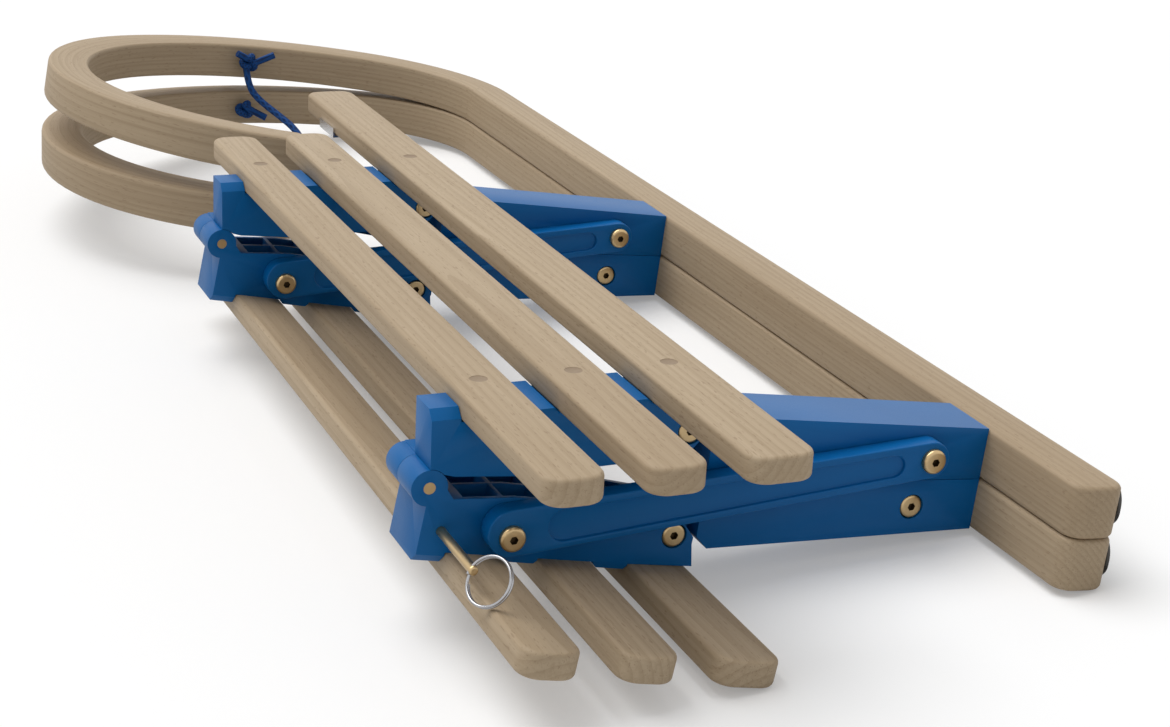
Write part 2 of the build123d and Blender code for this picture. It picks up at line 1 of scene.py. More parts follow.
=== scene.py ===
# %% [markdown]
# A folding wooden sled, folded flat and lying on one side. Its structure comes from a packed
# model, the frame: every solid is already at its real size and place. This lesson dresses that
# frame: the wood gets rounded edges and grain, the mouldings get soft edges, the bolts get their
# sockets, and the tow cord gets its braid. Everything is in metres, in the frame's own axes.

# %% Load the frame
import json
import math

import bmesh
import bpy
from mathutils import Matrix, Quaternion, Vector

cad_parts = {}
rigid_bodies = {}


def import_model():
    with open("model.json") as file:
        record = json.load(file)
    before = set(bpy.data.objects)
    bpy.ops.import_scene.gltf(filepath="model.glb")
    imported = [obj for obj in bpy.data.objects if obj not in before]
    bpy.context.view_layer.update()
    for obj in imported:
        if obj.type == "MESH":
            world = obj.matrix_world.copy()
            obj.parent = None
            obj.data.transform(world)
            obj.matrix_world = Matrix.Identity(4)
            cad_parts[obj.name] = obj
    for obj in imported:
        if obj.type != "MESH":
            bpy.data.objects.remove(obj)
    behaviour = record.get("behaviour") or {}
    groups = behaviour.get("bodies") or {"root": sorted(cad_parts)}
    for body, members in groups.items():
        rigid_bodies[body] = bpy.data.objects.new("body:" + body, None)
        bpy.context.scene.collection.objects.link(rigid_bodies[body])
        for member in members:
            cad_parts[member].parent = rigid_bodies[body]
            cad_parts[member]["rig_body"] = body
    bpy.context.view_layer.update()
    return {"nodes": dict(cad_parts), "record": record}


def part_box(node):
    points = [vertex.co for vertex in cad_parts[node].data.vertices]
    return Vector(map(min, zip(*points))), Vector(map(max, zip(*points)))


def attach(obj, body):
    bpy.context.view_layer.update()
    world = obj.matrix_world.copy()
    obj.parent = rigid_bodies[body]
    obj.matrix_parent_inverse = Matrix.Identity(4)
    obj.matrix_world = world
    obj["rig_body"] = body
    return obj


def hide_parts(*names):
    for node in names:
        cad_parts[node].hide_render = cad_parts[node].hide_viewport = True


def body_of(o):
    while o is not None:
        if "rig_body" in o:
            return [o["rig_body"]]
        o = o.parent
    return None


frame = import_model()
nodes = frame["nodes"]
joints = {joint["name"]: joint for joint in frame["record"]["behaviour"]["joints"]}
mounts = {mount["name"]: mount for mount in frame["record"]["mounts"]}
MM = 0.001

# %% [markdown]
# The two halves mirror each other in the plane between them. Three facts of the frame give all
# the places: the hinge in the middle, the line from one hip bolt to the other, which points
# straight across the halves, and the direction in which the upper seat faces. From these come
# one matrix for the folded sled and one for each seat, so that a piece can be modelled in
# plain, square coordinates and then put in place.

# %% Axes of the sled and of its seats
HALVES = ("right", "left")
ENDS = ("rear", "front")
LEG_BODY = {half: f"leg_{half}" for half in HALVES}
SEAT_BODY = {half: f"seat_{half}" for half in HALVES}
ARM_BODY = {half: f"arms_{half}" for half in HALVES}


def axes(origin, first, second, third):
    """Matrix whose columns are three directions and an origin."""
    matrix = Matrix((first, second, third)).transposed().to_4x4()
    matrix.translation = origin
    return matrix


hinge = Vector(joints["centre_fold"]["pos_m"])
across = (Vector(joints["hip_right"]["pos_m"]) - Vector(joints["hip_left"]["pos_m"])).normalized()
along = Vector((0, 1, 0))
outward = along.cross(across)
hinge.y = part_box("seat_bracket_left_rear")[0].y
sled = axes(hinge, outward, along, across)
seat_up = Vector(mounts["seat_top"]["axis"]).normalized()
seat_out = along.cross(seat_up)
to_left = Matrix.Identity(3) - 2 * Matrix([[a * b for b in across] for a in across])
seats = {
    "right": axes(hinge, seat_out, along, seat_up),
    "left": axes(hinge, to_left @ seat_out, along, to_left @ seat_up),
}
print("fold is laid down by", round(math.degrees(math.atan2(across.x, across.z)), 2), "degrees")

# %% [markdown]
# A piece is measured square to the sled or to its seat, not to the floor on which the sled
# lies askew. An object's own box runs along the floor's axes, so it can't say how wide a slat
# is. The points are turned back by the piece's matrix first, and their lowest and highest
# corner is taken after that.

# %% Measuring a node
def span(node, place):
    """Lowest and highest corner of a node along the axes of a matrix."""
    back = place.inverted()
    points = [back @ vertex.co for vertex in nodes[node].data.vertices]
    return Vector(map(min, *points)), Vector(map(max, *points))


slat_low, slat_high = span("slat_left_outer", seats["left"])
print("an outer slat measures", [round(side / MM, 1) for side in slat_high - slat_low], "mm")

# %% [markdown]
# The camera stands behind the sled and to its left, a little above it, as in the photograph:
# a long lens, so that the runners hardly converge. Its place and three angles are plain
# numbers, which were fitted to the picture once, and nothing follows the camera.

# %% Camera
CAMERA_PLACE = Vector((-0.4621, -1.4386, 0.5438))
CAMERA_AZIMUTH = math.radians(21.917)
CAMERA_ELEVATION = math.radians(-20.770)
CAMERA_ROLL = math.radians(0.594)
# both in millimetres, as on a real camera
CAMERA_LENS = 69.3
CAMERA_SENSOR = 36

forward = Vector((math.sin(CAMERA_AZIMUTH) * math.cos(CAMERA_ELEVATION),
                  math.cos(CAMERA_AZIMUTH) * math.cos(CAMERA_ELEVATION),
                  math.sin(CAMERA_ELEVATION)))
level = Vector((math.cos(CAMERA_AZIMUTH), -math.sin(CAMERA_AZIMUTH), 0))
rightward = Quaternion(forward, CAMERA_ROLL) @ level
camera_matrix = axes(CAMERA_PLACE, rightward, rightward.cross(forward), -forward)
bpy.ops.object.select_all(action="DESELECT")
bpy.ops.object.camera_add(location=CAMERA_PLACE, rotation=camera_matrix.to_euler())
camera = bpy.context.object
camera.data.lens = CAMERA_LENS
camera.data.sensor_width = CAMERA_SENSOR
bpy.context.scene.camera = camera
print("camera looks along", [round(value, 3) for value in forward])

# %% [markdown]
# Modelling by hand means the same few steps again and again: add a primitive, go into edit
# mode, select some edges or faces, and run an operator on them. By hand the selection is made
# with the mouse. In code it is made by place or normal, so pick takes a test and selects what
# passes it. It goes into edit mode when needed, and leave comes back from there.

# %% Selecting by a test
def only(piece):
    """Make a piece the one selected and active object."""
    bpy.ops.object.select_all(action="DESELECT")
    piece.select_set(True)
    bpy.context.view_layer.objects.active = piece


def pick(piece, kind, wanted):
    """Go into edit mode with just the wanted points, edges or faces selected."""
    if bpy.context.mode == "OBJECT":
        only(piece)
        bpy.ops.object.mode_set(mode="EDIT")
    bpy.ops.mesh.select_mode(type=kind)
    bpy.ops.mesh.select_all(action="DESELECT")
    mesh = bmesh.from_edit_mesh(piece.data)
    items = {"EDGE": mesh.edges, "FACE": mesh.faces, "VERT": mesh.verts}[kind]
    for item in items:
        if wanted(item):
            item.select_set(True)
    mesh.select_flush_mode()
    bmesh.update_edit_mesh(piece.data)


def leave():
    bpy.ops.object.mode_set(mode="OBJECT")


def sharp(edge, angle=math.radians(50)):
    """True for an edge where two faces meet at a clear corner."""
    return len(edge.link_faces) == 2 and edge.calc_face_angle() > angle


def on_top(face):
    """True for a face that looks up."""
    return face.normal.z > 0.9


# %% [markdown]
# Nearly every piece starts as a box or a rod and ends in its place in the sled. A finished
# piece is put there through its mesh, so that its object stays at the origin, and a mirrored
# matrix turns the faces inside out, so they are flipped back. Last, a piece is dressed: it gets
# its material, and it is told which body it rides on and which nodes it stands for.

# %% Boxes, rods and finished pieces
def bevel(width, steps):
    bpy.ops.mesh.bevel(offset=width, offset_type="OFFSET", segments=steps, profile=0.5)


def block(name, low, high):
    """Box between two corners, its place applied."""
    bpy.ops.mesh.primitive_cube_add(size=1, location=(low + high) / 2)
    piece = bpy.context.object
    piece.name = name
    piece.scale = high - low
    bpy.ops.object.transform_apply(location=True, rotation=True, scale=True)
    return piece


def rod(name, radius, length, vertices=32):
    """Cylinder along +Z from the origin."""
    bpy.ops.mesh.primitive_cylinder_add(vertices=vertices, radius=radius, depth=length,
                                        location=(0, 0, length / 2))
    piece = bpy.context.object
    piece.name = name
    bpy.ops.object.transform_apply(location=True, rotation=True, scale=True)
    return piece


def smooth(piece, angle=35):
    only(piece)
    bpy.ops.object.shade_smooth_by_angle(angle=math.radians(angle))


def move_mesh(piece, matrix):
    """Move a mesh, and keep its faces pointing outwards when the matrix mirrors."""
    piece.data.transform(matrix)
    if matrix.determinant() < 0:
        piece.data.flip_normals()


def dress(piece, material, slot, body, *stands_for):
    """Give a piece its material, body and the nodes it stands for.

    A piece that comes with its own materials is given None and keeps them. Its slot argument is not
    used.
    """
    if material:
        piece.data.materials.clear()
        piece.data.materials.append(material)
    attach(piece, body)
    if stands_for:
        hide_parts(*stands_for)


# %% [markdown]
# Materials are small node trees. They could be wired one socket at a time, but a helper that
# adds a node, sets its sockets and links its inputs in one call keeps a finish readable. Each
# finish below reads either Object coordinates or an attribute of the piece, never the camera.

# %% Helpers for materials
class Tree:
    """A material's node tree with a Principled shader, filled by short calls."""

    def __init__(self, name):
        self.material = bpy.data.materials.new(name)
        self.material.use_nodes = True
        self.nodes = self.material.node_tree.nodes
        self.links = self.material.node_tree.links
        self.shader = self.nodes["Principled BSDF"]

    def add(self, kind, inputs=None, **settings):
        node = self.nodes.new("ShaderNode" + kind)
        for key, value in settings.items():
            setattr(node, key, value)
        for key, value in (inputs or {}).items():
            self.feed(node, key, value)
        return node

    def feed(self, node, key, value):
        """Link a socket to an input, or set the input's value."""
        if isinstance(value, bpy.types.NodeSocket):
            self.links.new(value, node.inputs[key])
        else:
            node.inputs[key].default_value = value

    def ramp(self, factor, *stops):
        """Grey ramp from (place, grey) stops."""
        node = self.add("ValToRGB", {"Fac": factor})
        elements = node.color_ramp.elements
        for element, (place, grey) in zip(elements, stops):
            element.position = place
            element.color = (grey, grey, grey, 1)
        return node.outputs["Color"]

    def mix(self, factor, first, second):
        node = self.add("Mix", data_type="RGBA")
        self.feed(node, 0, factor)
        self.feed(node, 6, first if isinstance(first, bpy.types.NodeSocket) else (*first, 1))
        self.feed(node, 7, second if isinstance(second, bpy.types.NodeSocket) else (*second, 1))
        return node.outputs[2]

    def noise(self, vector, scale, detail=2.0, rough=0.5):
        node = self.add("TexNoise", {"Vector": vector, "Scale": scale, "Detail": detail,
                                     "Roughness": rough})
        return node.outputs["Fac"]

    def stretched(self, vector, scale):
        return self.add("Mapping", {"Vector": vector, "Scale": scale}).outputs["Vector"]

    def math(self, operation, first, second=0.0):
        node = self.add("Math", operation=operation)
        self.feed(node, 0, first)
        self.feed(node, 1, second)
        return node.outputs[0]

    def weaker(self, mask, share):
        return self.math("MULTIPLY", mask, share)

    def bump(self, height, distance, strength):
        node = self.add("Bump", {"Height": height, "Distance": distance, "Strength": strength})
        self.links.new(node.outputs["Normal"], self.shader.inputs["Normal"])

    def object_place(self):
        return self.add("TexCoord").outputs["Object"]


# %% [markdown]
# The slats and runners are pale hardwood under a thin clear finish. Its look comes from four
# things at four scales: broad patches of tone, the growth rings, the fine fibres, and the
# short brown flecks that this wood shows on its flat faces. All four are stretched along the
# board. The runners are bent, so their pattern can't read straight coordinates: each wooden
# piece carries an attribute, grain, with the place of every point across, along and through
# its own board, and a board's own offset keeps two boards from looking alike.

# %% Wood
# light, middle and dark tone
SLAT_TONES = ((0.500, 0.392, 0.266), (0.425, 0.322, 0.210), (0.310, 0.222, 0.132))
BENT_TONES = ((0.475, 0.368, 0.246), (0.405, 0.304, 0.196), (0.290, 0.207, 0.122))
FLECK_TONE = (0.230, 0.150, 0.085)
SLAT_RINGS = 62
BENT_RINGS = 95


def wood(name, tones, ring_scale):
    light, middle, dark = tones
    tree = Tree(name)
    grain = tree.add("Attribute", attribute_name="grain").outputs["Vector"]
    patches = tree.noise(tree.stretched(grain, (14, 1.6, 14)), 1.0, 3.0, 0.55)
    wander = tree.noise(tree.stretched(grain, (9, 1.1, 9)), 1.0, 2.0)
    bent = tree.add("VectorMath", {0: grain}, operation="ADD")
    offset = tree.add("CombineXYZ", {"X": tree.weaker(wander, 0.05), "Z": tree.weaker(patches, 0.02)})
    tree.links.new(offset.outputs[0], bent.inputs[1])
    rings = tree.add("TexWave", {"Vector": tree.stretched(bent.outputs[0], (1, 0.02, 1)),
                                 "Scale": ring_scale, "Distortion": 1.2, "Detail": 2.0,
                                 "Detail Scale": 1.5},
                     wave_type="RINGS", rings_direction="Y", wave_profile="SAW").outputs["Fac"]
    fibres = tree.noise(tree.stretched(grain, (1500, 22, 1500)), 1.0, 3.0, 0.6)
    threads = tree.noise(tree.stretched(grain, (420, 7, 420)), 1.0, 2.0, 0.6)
    flecks = tree.noise(tree.stretched(grain, (1100, 150, 1100)), 1.0, 1.0, 0.4)
    colour = tree.mix(tree.ramp(patches, (0.30, 0.0), (0.72, 1.0)), light, middle)
    # each layer's pattern, where its ramp runs from none to full, its share and its tone
    for pattern, start, full, share, tone in (
        (rings, 0.45, 1.0, 0.38, dark),
        (threads, 0.45, 0.75, 0.35, dark),
        (fibres, 0.35, 0.75, 0.22, dark),
        (flecks, 0.655, 0.715, 0.45, FLECK_TONE),
    ):
        mask = tree.ramp(pattern, (start, 0.0), (full, 1.0))
        colour = tree.mix(tree.weaker(mask, share), colour, tone)
    tree.feed(tree.shader, "Base Color", colour)
    tree.feed(tree.shader, "Roughness", tree.math("ADD", tree.weaker(fibres, 0.2), 0.45))
    tree.shader.inputs["Specular IOR Level"].default_value = 0.25
    tree.bump(tree.math("ADD", tree.weaker(fibres, 0.6), tree.weaker(rings, 0.4)), 0.00012, 0.55)
    return tree.material


slat_wood = wood("slat wood", SLAT_TONES, SLAT_RINGS)
bent_wood = wood("bent wood", BENT_TONES, BENT_RINGS)


def mark_grain(piece, at, offset):
    """Store where each point of a board lies in the board, with the board's own offset."""
    grain = piece.data.attributes.new("grain", "FLOAT_VECTOR", "POINT")
    for vertex in piece.data.vertices:
        grain.data[vertex.index].vector = at(vertex.co) + offset


print("wood:", slat_wood.name, "and", bent_wood.name)

# %% [markdown]
# The brackets, legs and arms are one dark blue plastic, moulded with a faint texture that
# breaks up the light. A plain colour would look like paint, so a little of the tone varies,
# because thick and thin walls cool differently, and a few pale scuffs run along the sled.

# %% Blue plastic
BLUE_DEEP = (0.0002, 0.104, 0.325)
BLUE_PALE = (0.0005, 0.127, 0.380)
BLUE_SCUFF = (0.02, 0.19, 0.46)


def blue_plastic():
    tree = Tree("blue plastic")
    place = tree.object_place()
    cloud = tree.noise(place, 18, 3.0)
    texture = tree.noise(place, 2600, 2.0)
    ripple = tree.noise(place, 240, 2.0)
    streaks = tree.noise(tree.stretched(place, (400, 60, 400)), 1.0, 3.0, 0.6)
    scuff = tree.ramp(streaks, (0.62, 0.0), (0.74, 1.0))
    colour = tree.mix(cloud, BLUE_DEEP, BLUE_PALE)
    tree.feed(tree.shader, "Base Color", tree.mix(tree.weaker(scuff, 0.10), colour, BLUE_SCUFF))
    tree.feed(tree.shader, "Roughness", tree.math("ADD", tree.weaker(texture, 0.16), 0.30))
    tree.shader.inputs["Specular IOR Level"].default_value = 0.2
    tree.bump(tree.math("ADD", tree.weaker(texture, 0.5), ripple), 0.00007, 0.5)
    return tree.material


plastic = blue_plastic()
print("plastic:", plastic.name)

# %% [markdown]
# The bolts are steel with a yellow zinc coat, which shifts between straw and gold, and their
# sockets are lined with a dark brown steel as painted shade. The locking pin has the same coat,
# its ring is plain steel, the screws and small plates are brighter, and the strips under the
# runners are dark steel with fine scratches along the way they slide. One function makes all
# five: two tones, a least roughness, how far it varies, and how far the scratches are stretched.

# %% Metals
def metal(name, first, second, rough, spread, streak=(90, 90, 90)):
    tree = Tree(name)
    place = tree.object_place()
    cloud = tree.noise(place, 160, 3.0)
    fine = tree.noise(tree.stretched(place, streak), 12, 3.0, 0.65)
    tree.feed(tree.shader, "Base Color", tree.mix(cloud, first, second))
    tree.shader.inputs["Metallic"].default_value = 1.0
    tree.feed(tree.shader, "Roughness", tree.math("ADD", tree.weaker(fine, spread), rough))
    tree.bump(fine, 0.00003, 0.6)
    return tree.material


gold_steel = metal("yellow zinc steel", (0.66, 0.47, 0.24), (0.50, 0.38, 0.22), 0.22, 0.22)
ring_steel = metal("ring steel", (0.50, 0.50, 0.51), (0.36, 0.36, 0.38), 0.16, 0.16)
bright_steel = metal("bright steel", (0.78, 0.78, 0.79), (0.66, 0.67, 0.69), 0.10, 0.14)
# dark brown steel inside the bolt sockets: painted shade in the hollow
socket_shade = metal("painted socket shade", (0.10, 0.066, 0.032), (0.06, 0.04, 0.022), 0.45, 0.2)
dark_steel = metal("dark steel", (0.050, 0.048, 0.046), (0.105, 0.101, 0.096), 0.34, 0.25,
                   streak=(900, 8, 900))
print("metals:", [steel.name for steel in (gold_steel, ring_steel, bright_steel, dark_steel)])

# %% [markdown]
# Six slats make the seat. A slat is a board with round corners in plan and softened edges all
# round: a box, its four upright edges bevelled wide, then every rim bevelled a little. The
# upright edges come first, so that the rim can run round the corners in one piece. The sizes
# come from the frame, measured along the axes of the seat. Each slat is screwed to both
# brackets from above, so two shallow holes are cut into its top with a Boolean modifier.

# %% Slats
PLACES = ("inner", "middle", "outer")
SLAT_CORNER = 11 * MM
SLAT_EDGE = 2.5 * MM
HOLE_RADIUS = 4.8 * MM
HOLE_DEPTH = 2 * MM
slat_tops = {}


def carve(piece, tool):
    """Cut a tool out of a piece, and delete the tool."""
    cut = piece.modifiers.new("cut", "BOOLEAN")
    cut.object = tool
    cut.operation = "DIFFERENCE"
    cut.solver = "EXACT"
    only(piece)
    bpy.ops.object.modifier_apply(modifier=cut.name)
    bpy.data.objects.remove(tool)


def station(half, end):
    """Middle of a bracket along the seat, where the slats are screwed down."""
    low, high = span(f"seat_bracket_{half}_{end}", seats[half])
    return (low.y + high.y) / 2


def slat(half, place, index):
    node = f"slat_{half}_{place}"
    low, high = span(node, seats[half])
    piece = block(f"board_{half}_{place}", low, high)
    pick(piece, "EDGE", lambda edge: abs(edge.verts[0].co.z - edge.verts[1].co.z) > SLAT_EDGE)
    bevel(SLAT_CORNER, 8)
    pick(piece, "EDGE", sharp)
    bevel(SLAT_EDGE, 4)
    leave()
    middle = (low + high) / 2
    for end in ENDS:
        drill = rod("drill", HOLE_RADIUS, 2 * HOLE_DEPTH)
        drill.data.transform(Matrix.Translation((middle.x, station(half, end), high.z - HOLE_DEPTH)))
        carve(piece, drill)
    # the middle of the tree lies below the board, and at another place for each board
    pith = Vector(((-1) ** index * (0.012 + 0.006 * index), 0.37 * index, -0.028 - 0.004 * index))
    mark_grain(piece, lambda point: point - middle, pith)
    smooth(piece)
    move_mesh(piece, seats[half])
    dress(piece, slat_wood, "slat_wood", SEAT_BODY[half], node)
    slat_tops[half, place] = (middle.x, high.z)


for half in HALVES:
    for index, place in enumerate(PLACES):
        slat(half, place, index + len(PLACES) * HALVES.index(half))
print("slats:", len(slat_tops))

# %% [markdown]
# The screw holes are filled with wood paste, which dries duller and browner than the wood and
# sinks a little. A dark spot in the slat's material would do from afar, but up close the eye
# finds the rim. So a plug is a shallow disc with a dished face, just below the top of the
# slat. One is modelled, and its copies on a half are joined into one piece.

# %% Filled screw holes
PASTE_TONES = ((0.245, 0.175, 0.112), (0.315, 0.232, 0.150))
PLUG_GAP = 0.02 * MM
PLUG_RIM = 1.6 * MM
PLUG_DISH = 0.35 * MM
PLUG_SUNK = 0.15 * MM


def filler():
    tree = Tree("filler")
    fine = tree.noise(tree.object_place(), 900, 3.0)
    tree.feed(tree.shader, "Base Color", tree.mix(fine, *PASTE_TONES))
    tree.feed(tree.shader, "Roughness", 0.62)
    tree.bump(fine, 0.00015, 0.5)
    return tree.material


def twin(piece, name):
    """Copy of a piece with its own mesh."""
    copy = bpy.data.objects.new(name, piece.data.copy())
    bpy.context.scene.collection.objects.link(copy)
    return copy


def join(name, parts):
    """Several meshes as one piece."""
    only(parts[0])
    for part in parts[1:]:
        part.select_set(True)
    bpy.ops.object.join()
    parts[0].name = name
    return parts[0]


filler_paste = filler()
plug = rod("plug", HOLE_RADIUS - PLUG_GAP, HOLE_DEPTH)
pick(plug, "FACE", on_top)
bpy.ops.mesh.inset(thickness=PLUG_RIM)
bpy.ops.transform.translate(value=(0, 0, -PLUG_DISH))
leave()
for half in HALVES:
    plugs = []
    for place in PLACES:
        slat_x, top = slat_tops[half, place]
        for end in ENDS:
            copy = twin(plug, "plug_copy")
            copy.data.transform(Matrix.Translation((slat_x, station(half, end),
                                                    top - PLUG_SUNK - HOLE_DEPTH)))
            plugs.append(copy)
    print("filled holes,", half, "half:", len(plugs))
    filled = join(f"filled_holes_{half}", plugs)
    smooth(filled)
    move_mesh(filled, seats[half])
    dress(filled, filler_paste, "slat_wood", SEAT_BODY[half])
bpy.data.objects.remove(plug)

# %% [markdown]
# A runner is one bent stick: a straight run, then three arcs that curl back over the front in
# a plane that leans a little. The arcs are worked out before anything is made. Each has a
# centre, a spoke from there to the stick and the stick's heading, and it hands its end on to
# the next, so the curl stays smooth when a radius or a turn is changed.

# %% The line of a horn
HORN_START = 858 * MM
HORN_LEAN = math.radians(1.9)
# radius and turn of each arc
HORN_ARCS = (
    (122.0 * MM, math.radians(72)),
    (251.5 * MM, math.radians(50)),
    (188.0 * MM, math.radians(140)),
)


def horn_line(start, side):
    """Normal of the horn's plane, and each arc's centre, spoke, heading, turn and radius."""
    normal = Vector((side * math.sin(HORN_LEAN), 0, math.cos(HORN_LEAN)))
    place, heading = start.copy(), Vector((0, 1, 0))
    arcs = []
    for radius, turn in HORN_ARCS:
        left = normal.cross(heading)
        centre = place + radius * left
        arcs.append((centre, -left, heading.copy(), turn, radius))
        swing = Quaternion(normal, turn)
        place = centre - swing @ (radius * left)
        heading = swing @ heading
    return normal, arcs


def horn_end(normal, arcs):
    """Middle of the far end of the last arc."""
    centre, spoke, heading, turn, radius = arcs[-1]
    return centre + Quaternion(normal, turn) @ (radius * spoke)


print("horn's curl:", round(sum(radius * turn for radius, turn in HORN_ARCS), 3), "m long")

# %% [markdown]
# A stick like this could be a curve with a square profile, but a curve's ends are hard to cut
# and round. Here the box of the straight run is made first, and its front face is spun three
# times, round the centre of each arc, one step for every few degrees so that the outline looks
# round. The stick is then cut off square to the sled, next to the outer slat.

# %% Bending a stick
BEND_STEP = math.radians(4)
STRAIGHT_SIDE = 300 * MM
SEAM_CLEAR = 10 * MM
HORN_CLEAR = 39.3 * MM
NEAR = 1e-5


def straight_run(half):
    """Corners of the runner's straight run, square to the sled."""
    back = sled.inverted()
    points = [back @ vertex.co for vertex in nodes[f"runner_{half}"].data.vertices]
    straight = [point for point in points
                if point.y < HORN_START - SEAM_CLEAR and point.x > STRAIGHT_SIDE]
    low = Vector(map(min, *straight))
    high = Vector(map(max, *straight))
    high.y = HORN_START
    return low, high


def bent_stick(name, low, high, normal, arcs):
    piece = block(name, low, high)
    pick(piece, "FACE", lambda face: face.normal.y > 0.9)
    for centre, spoke, heading, turn, radius in arcs:
        bpy.ops.mesh.spin(steps=round(turn / BEND_STEP), angle=-turn, center=centre, axis=normal)
    leave()
    # the spin leaves its first face inside the stick
    pick(piece, "FACE", lambda face: abs(face.normal.y) > 0.99
         and abs(face.calc_center_median().y - HORN_START) < NEAR
         and face.calc_center_median().x > low.x)
    bpy.ops.mesh.delete(type="FACE")
    bpy.ops.mesh.select_all(action="SELECT")
    bpy.ops.mesh.remove_doubles(threshold=1e-6)
    return piece


def cut_square(piece, low, high, end):
    """Cut the horn's end off square to the sled."""
    twice = 2 * (high.x - low.x)
    hip_x = (sled.inverted() @ Vector(joints["hip_right"]["pos_m"])).x
    pick(piece, "FACE", lambda face: face.calc_center_median().y < end.y + twice
         and face.calc_center_median().x < low.x - twice)
    bpy.ops.mesh.bisect(plane_co=(hip_x - HORN_CLEAR, 0, 0), plane_no=(1, 0, 0),
                        clear_outer=True, use_fill=True)
    bpy.ops.mesh.select_all(action="SELECT")
    bpy.ops.mesh.normals_make_consistent(inside=False)


# %% [markdown]
# The grain of a bent stick follows the bend, because the wood is steamed and bent whole. So
# every point is asked which arc it lies on: its angle there gives how far along the stick it
# is, and its distance from the arc's centre how far across.

# %% Grain round the bend
STRAIGHT_MARGIN = 5 * MM
PAST_END = 0.2


def place_in_stick(point, low, middle, normal, arcs):
    """Across, along and through the stick, also round the arcs."""
    if point.y < HORN_START and point.x > low.x - STRAIGHT_MARGIN:
        return Vector((point.x - middle.x, point.y, point.z - middle.z))
    best, done = None, HORN_START
    for centre, spoke, heading, turn, radius in arcs:
        ray = point - centre
        angle = math.atan2(ray.dot(heading), ray.dot(spoke)) % (2 * math.pi)
        out = math.hypot(ray.dot(heading), ray.dot(spoke)) - radius
        if angle < turn + PAST_END and (best is None or abs(out) < abs(best.x)):
            best = Vector((out, done + radius * angle, ray.dot(normal)))
        done += turn * radius
    return best or point


# %% [markdown]
# Now the two runners. The rear end is rounded wide where it slides, every other edge a little,
# and the hole for the cord is drilled through the horn where the frame has it. The last line
# compares each stick's box with its node's: they agree to a fifth of a millimetre.

# %% Runners
RUNNER_ROUND = 11 * MM
RUNNER_EDGE = 3 * MM
CORD_HOLE = 4 * MM


def cord_drill(half):
    hole = mounts[f"tow_hole_{half}"]
    drill = rod("drill", CORD_HOLE, 4 * RUNNER_ROUND)
    drill.data.transform(Matrix.Translation((0, 0, -2 * RUNNER_ROUND)))
    drill.data.transform(Vector(hole["axis"]).to_track_quat("Z", "Y").to_matrix().to_4x4())
    drill.data.transform(Matrix.Translation(Vector(hole["pos_m"])))
    return drill


def runner(half, index):
    low, high = straight_run(half)
    middle = (low + high) / 2
    normal, arcs = horn_line(Vector((middle.x, HORN_START, middle.z)), 1 if half == "right" else -1)
    piece = bent_stick(f"stick_{half}", low, high, normal, arcs)
    cut_square(piece, low, high, horn_end(normal, arcs))
    pick(piece, "EDGE", lambda edge: all(abs(vertex.co.y - low.y) < NEAR for vertex in edge.verts)
         and abs(edge.verts[0].co.z - edge.verts[1].co.z) > RUNNER_ROUND)
    bevel(RUNNER_ROUND, 8)
    pick(piece, "EDGE", sharp)
    bevel(RUNNER_EDGE, 4)
    leave()
    drill = cord_drill(half)
    smooth(piece)
    move_mesh(piece, sled)
    carve(piece, drill)
    back = sled.inverted()
    mark_grain(piece, lambda point: place_in_stick(back @ point, low, middle, normal, arcs),
               Vector((0.015, 0.9 + 0.61 * index, 0.035)))
    dress(piece, bent_wood, "bent_wood", LEG_BODY[half], f"runner_{half}")
    return piece


for index, half in enumerate(HALVES):
    stick = runner(half, index)
    node_low, node_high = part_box(f"runner_{half}")
    bpy.context.view_layer.update()
    corners = [Vector(corner) for corner in stick.bound_box]
    print(stick.name, "differs from its node by",
          [round((min(corner[i] for corner in corners) - node_low[i]) / MM, 2) for i in range(3)],
          [round((max(corner[i] for corner in corners) - node_high[i]) / MM, 2) for i in range(3)])

# %% [markdown]
# The plastic pieces already have their ribs, ears, knuckles and cells in the frame, but a
# moulding has no knife edges. So each one is copied, its loose triangles are merged back into
# flat faces, and a narrow bevel goes round every corner, the way a mould leaves it. The ear of
# a seat bracket is trimmed first: the real one stops short of the bracket's front, and its
# corners are rounded wider than the rest.

# %% Mouldings
MOULD_EDGE = 0.8 * MM
EAR_DEPTH = {"right": 25 * MM, "left": 41 * MM}
EAR_WALL = 15.9 * MM
EAR_CUT_FOOT = 10.3 * MM
EAR_EDGE = 3 * MM
EAR_OUT = 16.5 * MM
EAR_FOOT = 12 * MM
CUT_MARGIN = 10 * MM


def trim_ear(piece, node, seat, depth):
    """Cut a bracket's ear to its depth along the seat, and round its corners."""
    low, high = span(node, seat)
    tool = block("ear_cut", Vector((low.x - CUT_MARGIN, low.y + depth, EAR_CUT_FOOT)),
                 Vector((EAR_WALL, high.y + CUT_MARGIN, high.z + CUT_MARGIN)))
    move_mesh(tool, seat)
    carve(piece, tool)
    back = seat.inverted()

    def on_ear(vertex):
        place = back @ vertex.co
        return place.x < EAR_OUT and place.z > EAR_FOOT

    pick(piece, "EDGE", lambda edge: sharp(edge, math.radians(30)) and all(map(on_ear, edge.verts)))
    bpy.ops.mesh.bevel(offset=EAR_EDGE, offset_type="OFFSET", segments=4, clamp_overlap=True)
    leave()


def soften(piece, width, segments, angle, miter="MITER_SHARP"):
    """Bevel every corner sharper than an angle, with a modifier that is then applied."""
    soft = piece.modifiers.new("soft", "BEVEL")
    soft.width = width
    soft.segments = segments
    soft.limit_method = "ANGLE"
    soft.angle_limit = math.radians(angle)
    soft.miter_outer = miter
    only(piece)
    bpy.ops.object.modifier_apply(modifier=soft.name)


